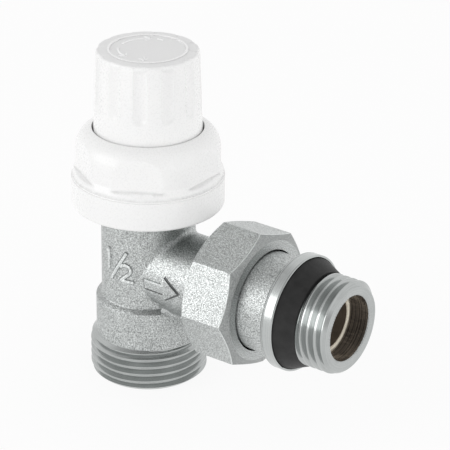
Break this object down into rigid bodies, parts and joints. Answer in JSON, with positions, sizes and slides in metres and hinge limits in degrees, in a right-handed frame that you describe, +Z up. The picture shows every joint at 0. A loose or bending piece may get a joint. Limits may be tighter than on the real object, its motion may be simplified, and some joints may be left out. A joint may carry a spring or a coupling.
{
  "type": "angled radiator valve",
  "caption": "Angled radiator valve: screwed inlet below, union nut and tailpiece with a sealing cone to the side, and a white fluted hand cap that presses the stem.",
  "frame": {"origin": "centre of the inlet's end face, on the stem axis", "axes": "+Z up the stem axis towards the cap, +X out along the outlet axis"},
  "size_m": [0.0716, 0.034, 0.0773],
  "materials": {
    "blasted_nickel": "satin",
    "blasted_nickel_nut": "satin",
    "turned_nickel": "satin",
    "bright_nickel": "gloss",
    "black_rubber": "matte",
    "white_plastic_collar": "gloss",
    "white_plastic_knob": "gloss",
    "plain_brass": "satin",
    "white_packing": "matte",
    "stainless_steel": "satin"
  },
  "bodies": {
    "valve": {"valve_body": "blasted_nickel", "insert_housing": "plain_brass", "insert_o_ring": "black_rubber", "gland_nut": "plain_brass", "gland_washer": "white_packing", "gland_o_ring_lower": "black_rubber", "gland_o_ring_upper": "black_rubber", "return_spring": "stainless_steel", "cap_collar": "white_plastic_collar"},
    "stem": {"stem": "stainless_steel", "spring_washer": "stainless_steel", "stem_clip": "stainless_steel", "disc_holder": "plain_brass", "disc_seal": "black_rubber", "disc_washer": "plain_brass", "disc_nut": "plain_brass"},
    "knob": {"cap_knob": "white_plastic_knob"},
    "tail": {"tailpiece": "turned_nickel", "union_o_ring": "black_rubber", "backing_ring": "bright_nickel", "cone_seal": "black_rubber"},
    "nut": {"union_nut": "blasted_nickel_nut"}
  },
  "joints": [
    {"name": "stem_lift", "type": "slide", "parent": "valve", "child": "stem", "axis": [0, 0, 1], "range_m": [-0.003, 0], "deforming": ["return_spring"]},
    {"name": "knob_turn", "type": "hinge", "parent": "stem", "child": "knob", "pos_m": [0, 0, 0.066], "axis": [0, 0, 1], "range_deg": [-360, 0]},
    {"name": "tail_slide", "type": "slide", "parent": "valve", "child": "tail", "axis": [1, 0, 0], "range_m": [0, 0.00725]},
    {"name": "nut_turn", "type": "hinge", "parent": "tail", "child": "nut", "pos_m": [0.0265, 0, 0.0264], "axis": [1, 0, 0], "range_deg": [0, 1440]}
  ],
  "couplings": [
    {"joint": "knob_turn", "follows": "stem_lift", "rad_per_m": 2094.4},
    {"joint": "nut_turn", "follows": "tail_slide", "rad_per_m": 3463.7}
  ]
}
